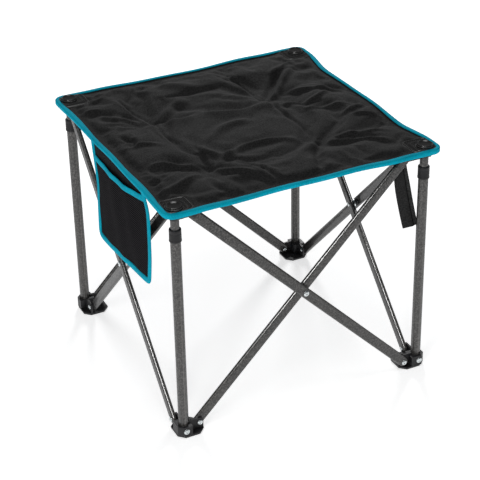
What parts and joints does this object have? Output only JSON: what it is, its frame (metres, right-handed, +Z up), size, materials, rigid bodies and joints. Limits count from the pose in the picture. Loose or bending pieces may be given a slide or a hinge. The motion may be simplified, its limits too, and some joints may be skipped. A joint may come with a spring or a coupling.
{
  "type": "folding side table",
  "caption": "Square low side table: padded fabric top on telescoping posts and crossed scissor arms that fold into an upright bundle, with a side pocket.",
  "frame": {"origin": "on the floor, under the middle of the square top", "axes": "+Z up, -X towards the side with the pocket, -Y towards the front, where the strap hangs by the right-hand corner"},
  "size_m": [0.5514, 0.5514, 0.483],
  "materials": {
    "hammered_paint": "satin",
    "black_plastic": "matte",
    "gloss_plastic": "gloss",
    "zinc_steel": "satin",
    "black_fabric": "matte",
    "teal_tape": "matte",
    "pocket_mesh": "matte"
  },
  "bodies": {
    "foot_front_left": {"foot_hub_front_left": "black_plastic", "lower_post_front_left": "hammered_paint", "collar_front_left": "black_plastic", "post_rivet_front_left": "zinc_steel", "foot_rivet_front_inner": "zinc_steel", "foot_rivet_left_outer": "zinc_steel"},
    "top_front_left": {"top_hub_front_left": "black_plastic", "upper_post_front_left": "hammered_paint", "corner_cap_front_left": "gloss_plastic", "pad_border": "black_fabric", "edge_binding": "teal_tape", "side_pocket": "pocket_mesh"},
    "foot_front_right": {"foot_hub_front_right": "black_plastic", "lower_post_front_right": "hammered_paint", "collar_front_right": "black_plastic", "post_rivet_front_right": "zinc_steel", "foot_rivet_right_inner": "zinc_steel", "foot_rivet_front_outer": "zinc_steel"},
    "top_front_right": {"top_hub_front_right": "black_plastic", "upper_post_front_right": "hammered_paint", "corner_cap_front_right": "gloss_plastic", "closure_strap": "black_fabric"},
    "foot_back_right": {"foot_hub_back_right": "black_plastic", "lower_post_back_right": "hammered_paint", "collar_back_right": "black_plastic", "post_rivet_back_right": "zinc_steel", "foot_rivet_back_inner": "zinc_steel", "foot_rivet_right_outer": "zinc_steel"},
    "top_back_right": {"top_hub_back_right": "black_plastic", "upper_post_back_right": "hammered_paint", "corner_cap_back_right": "gloss_plastic"},
    "foot_back_left": {"foot_hub_back_left": "black_plastic", "lower_post_back_left": "hammered_paint", "collar_back_left": "black_plastic", "post_rivet_back_left": "zinc_steel", "foot_rivet_left_inner": "zinc_steel", "foot_rivet_back_outer": "zinc_steel"},
    "top_back_left": {"top_hub_back_left": "black_plastic", "upper_post_back_left": "hammered_paint", "corner_cap_back_left": "gloss_plastic"},
    "arm_front_inner": {"arm_front_inner": "hammered_paint", "scissor_rivet_front": "zinc_steel"},
    "arm_front_outer": {"arm_front_outer": "hammered_paint"},
    "panel_front_first": {"pad_panel_front_first": "black_fabric"},
    "panel_front_second": {"pad_panel_front_second": "black_fabric"},
    "arm_right_inner": {"arm_right_inner": "hammered_paint", "scissor_rivet_right": "zinc_steel"},
    "arm_right_outer": {"arm_right_outer": "hammered_paint"},
    "panel_right_first": {"pad_panel_right_first": "black_fabric"},
    "panel_right_second": {"pad_panel_right_second": "black_fabric"},
    "arm_back_inner": {"arm_back_inner": "hammered_paint", "scissor_rivet_back": "zinc_steel"},
    "arm_back_outer": {"arm_back_outer": "hammered_paint"},
    "panel_back_first": {"pad_panel_back_first": "black_fabric"},
    "panel_back_second": {"pad_panel_back_second": "black_fabric"},
    "arm_left_inner": {"arm_left_inner": "hammered_paint", "scissor_rivet_left": "zinc_steel"},
    "arm_left_outer": {"arm_left_outer": "hammered_paint"},
    "panel_left_first": {"pad_panel_left_first": "black_fabric"},
    "panel_left_second": {"pad_panel_left_second": "black_fabric"}
  },
  "joints": [
    {"name": "fold", "type": "hinge", "parent": "foot_front_left", "child": "arm_front_inner", "pos_m": [-0.218, -0.25, 0.017], "axis": [0, -1, 0], "range_deg": [0, 42], "deforming": ["pad_border", "edge_binding", "side_pocket", "pad_panel_front_first", "pad_panel_front_second", "pad_panel_right_first", "pad_panel_right_second", "pad_panel_back_first", "pad_panel_back_second", "pad_panel_left_first", "pad_panel_left_second"]},
    {"name": "scissor_front", "type": "hinge", "parent": "arm_front_inner", "child": "arm_front_outer", "pos_m": [0, -0.25, 0.23825], "axis": [0, -1, 0], "range_deg": [-84, 0]},
    {"name": "foot_pivot_front_right", "type": "hinge", "parent": "arm_front_outer", "child": "foot_front_right", "pos_m": [0.218, -0.25, 0.017], "axis": [0, -1, 0], "range_deg": [0, 42]},
    {"name": "top_pivot_front_right", "type": "hinge", "parent": "arm_front_inner", "child": "top_front_right", "pos_m": [0.218, -0.25, 0.4595], "axis": [0, -1, 0], "range_deg": [-42, 0]},
    {"name": "top_pivot_front_left", "type": "hinge", "parent": "arm_front_outer", "child": "top_front_left", "pos_m": [-0.218, -0.25, 0.4595], "axis": [0, -1, 0], "range_deg": [0, 42]},
    {"name": "fold_right", "type": "hinge", "parent": "foot_front_right", "child": "arm_right_inner", "pos_m": [0.25, -0.218, 0.017], "axis": [1, 0, 0], "range_deg": [0, 42]},
    {"name": "scissor_right", "type": "hinge", "parent": "arm_right_inner", "child": "arm_right_outer", "pos_m": [0.25, 0, 0.23825], "axis": [1, 0, 0], "range_deg": [-84, 0]},
    {"name": "foot_pivot_back_right", "type": "hinge", "parent": "arm_right_outer", "child": "foot_back_right", "pos_m": [0.25, 0.218, 0.017], "axis": [1, 0, 0], "range_deg": [0, 42]},
    {"name": "top_pivot_back_right", "type": "hinge", "parent": "arm_right_inner", "child": "top_back_right", "pos_m": [0.25, 0.218, 0.4595], "axis": [1, 0, 0], "range_deg": [-42, 0]},
    {"name": "fold_back", "type": "hinge", "parent": "foot_back_right", "child": "arm_back_inner", "pos_m": [0.218, 0.25, 0.017], "axis": [0, 1, 0], "range_deg": [0, 42]},
    {"name": "scissor_back", "type": "hinge", "parent": "arm_back_inner", "child": "arm_back_outer", "pos_m": [0, 0.25, 0.23825], "axis": [0, 1, 0], "range_deg": [-84, 0]},
    {"name": "foot_pivot_back_left", "type": "hinge", "parent": "arm_back_outer", "child": "foot_back_left", "pos_m": [-0.218, 0.25, 0.017], "axis": [0, 1, 0], "range_deg": [0, 42]},
    {"name": "top_pivot_back_left", "type": "hinge", "parent": "arm_back_inner", "child": "top_back_left", "pos_m": [-0.218, 0.25, 0.4595], "axis": [0, 1, 0], "range_deg": [-42, 0]},
    {"name": "fold_left", "type": "hinge", "parent": "foot_back_left", "child": "arm_left_inner", "pos_m": [-0.25, 0.218, 0.017], "axis": [-1, 0, 0], "range_deg": [0, 42]},
    {"name": "scissor_left", "type": "hinge", "parent": "arm_left_inner", "child": "arm_left_outer", "pos_m": [-0.25, 0, 0.23825], "axis": [-1, 0, 0], "range_deg": [-84, 0]},
    {"name": "crease_front_first", "type": "hinge", "parent": "top_front_left", "child": "panel_front_first", "pos_m": [-0.22, -0.22, 0.4703], "axis": [1, 0, 0], "range_deg": [-85.84, 0]},
    {"name": "crease_front_second", "type": "hinge", "parent": "top_front_right", "child": "panel_front_second", "pos_m": [0.22, -0.22, 0.4703], "axis": [1, 0, 0], "range_deg": [-85.84, 0]},
    {"name": "crease_right_first", "type": "hinge", "parent": "top_front_right", "child": "panel_right_first", "pos_m": [0.22, -0.22, 0.4703], "axis": [0, 1, 0], "range_deg": [-85.84, 0]},
    {"name": "crease_right_second", "type": "hinge", "parent": "top_back_right", "child": "panel_right_second", "pos_m": [0.22, 0.22, 0.4703], "axis": [0, 1, 0], "range_deg": [-85.84, 0]},
    {"name": "crease_back_first", "type": "hinge", "parent": "top_back_right", "child": "panel_back_first", "pos_m": [0.22, 0.22, 0.4703], "axis": [-1, 0, 0], "range_deg": [-85.84, 0]},
    {"name": "crease_back_second", "type": "hinge", "parent": "top_back_left", "child": "panel_back_second", "pos_m": [-0.22, 0.22, 0.4703], "axis": [-1, 0, 0], "range_deg": [-85.84, 0]},
    {"name": "crease_left_first", "type": "hinge", "parent": "top_back_left", "child": "panel_left_first", "pos_m": [-0.22, 0.22, 0.4703], "axis": [0, -1, 0], "range_deg": [-85.84, 0]},
    {"name": "crease_left_second", "type": "hinge", "parent": "top_front_left", "child": "panel_left_second", "pos_m": [-0.22, -0.22, 0.4703], "axis": [0, -1, 0], "range_deg": [-85.84, 0]}
  ],
  "couplings": [
    {"joint": "scissor_front", "follows": "fold", "ratio": -2},
    {"joint": "foot_pivot_front_right", "follows": "fold", "ratio": 1},
    {"joint": "top_pivot_front_right", "follows": "fold", "ratio": -1},
    {"joint": "top_pivot_front_left", "follows": "fold", "ratio": 1},
    {"joint": "fold_right", "follows": "fold", "ratio": 1},
    {"joint": "scissor_right", "follows": "fold", "ratio": -2},
    {"joint": "foot_pivot_back_right", "follows": "fold", "ratio": 1},
    {"joint": "top_pivot_back_right", "follows": "fold", "ratio": -1},
    {"joint": "fold_back", "follows": "fold", "ratio": 1},
    {"joint": "scissor_back", "follows": "fold", "ratio": -2},
    {"joint": "foot_pivot_back_left", "follows": "fold", "ratio": 1},
    {"joint": "top_pivot_back_left", "follows": "fold", "ratio": -1},
    {"joint": "fold_left", "follows": "fold", "ratio": 1},
    {"joint": "scissor_left", "follows": "fold", "ratio": -2},
    {"joint": "crease_front_first", "follows": "fold", "ratio": -2.0438},
    {"joint": "crease_front_second", "follows": "fold", "ratio": -2.0438},
    {"joint": "crease_right_first", "follows": "fold", "ratio": -2.0438},
    {"joint": "crease_right_second", "follows": "fold", "ratio": -2.0438},
    {"joint": "crease_back_first", "follows": "fold", "ratio": -2.0438},
    {"joint": "crease_back_second", "follows": "fold", "ratio": -2.0438},
    {"joint": "crease_left_first", "follows": "fold", "ratio": -2.0438},
    {"joint": "crease_left_second", "follows": "fold", "ratio": -2.0438}
  ]
}
